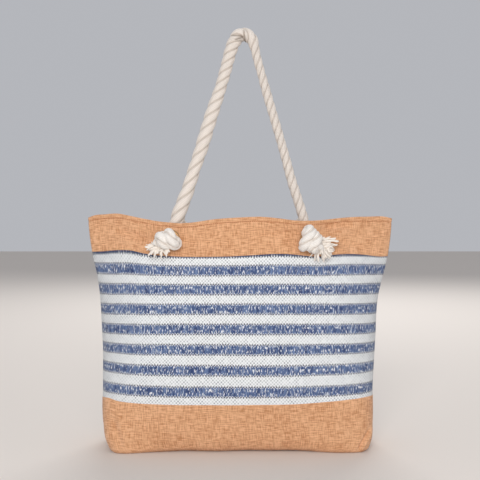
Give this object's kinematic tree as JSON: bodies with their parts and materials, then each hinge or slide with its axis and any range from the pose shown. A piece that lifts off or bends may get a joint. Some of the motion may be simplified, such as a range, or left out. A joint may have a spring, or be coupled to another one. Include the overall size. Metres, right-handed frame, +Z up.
{
  "type": "beach bag",
  "caption": "Soft boxed-bottom cloth tote with a tan top and base, blue and white striped middle, and two knotted twisted-rope handles with frayed ends",
  "frame": {"origin": "middle of the base of the bag body, on the surface that it stands on", "axes": "+Z up, +X along the bag's width to the right seen from the front, -Y out of the striped front, +Y towards the back"},
  "size_m": [0.521, 0.171, 0.707],
  "materials": {
    "tan_cloth": "coarse tan slub weave like linen, matt",
    "striped_cloth": "white twill with seven woven slub blue stripes, matt",
    "lining_cloth": "plain cream cotton, matt",
    "eyelet_metal": "pale nickel",
    "snap_metal": "pale nickel",
    "cotton_rope": "natural cream cotton, three twisted strands, matt",
    "frayed_cotton": "loose cream cotton yarns, matt"
  },
  "bodies": {
    "bag": {"front_top_band": "tan_cloth", "front_stripe_panel": "striped_cloth", "front_bottom_band": "tan_cloth", "front_lining": "lining_cloth", "front_snap_half": "snap_metal", "front_left_eyelet": "eyelet_metal", "front_left_eyelet_washer": "eyelet_metal", "front_left_rope_root": "cotton_rope", "front_left_knot": "cotton_rope", "front_left_frayed_end": "frayed_cotton", "front_right_eyelet": "eyelet_metal", "front_right_eyelet_washer": "eyelet_metal", "front_right_rope_root": "cotton_rope", "front_right_knot": "cotton_rope", "front_right_frayed_end": "frayed_cotton", "back_top_band": "tan_cloth", "back_stripe_panel": "striped_cloth", "back_bottom_band": "tan_cloth", "back_lining": "lining_cloth", "back_snap_half": "snap_metal", "back_left_eyelet": "eyelet_metal", "back_left_eyelet_washer": "eyelet_metal", "back_left_rope_root": "cotton_rope", "back_left_knot": "cotton_rope", "back_left_frayed_end": "frayed_cotton", "back_right_eyelet": "eyelet_metal", "back_right_eyelet_washer": "eyelet_metal", "back_right_rope_root": "cotton_rope", "back_right_knot": "cotton_rope", "back_right_frayed_end": "frayed_cotton", "inner_pocket": "lining_cloth"},
    "front_handle": {"front_handle_rope": "cotton_rope"},
    "back_handle": {"back_handle_rope": "cotton_rope"}
  },
  "joints": [
    {"name": "front_handle_swing", "type": "hinge", "parent": "bag", "child": "front_handle", "pos_m": [0, -0.03923, 0.409], "axis": [1, 0, 0], "range_deg": [-10, 150], "deforming": ["front_left_rope_root", "front_right_rope_root"]},
    {"name": "back_handle_swing", "type": "hinge", "parent": "bag", "child": "back_handle", "pos_m": [0, 0.03923, 0.409], "axis": [1, 0, 0], "range_deg": [0, 165], "deforming": ["back_left_rope_root", "back_right_rope_root"]}
  ]
}
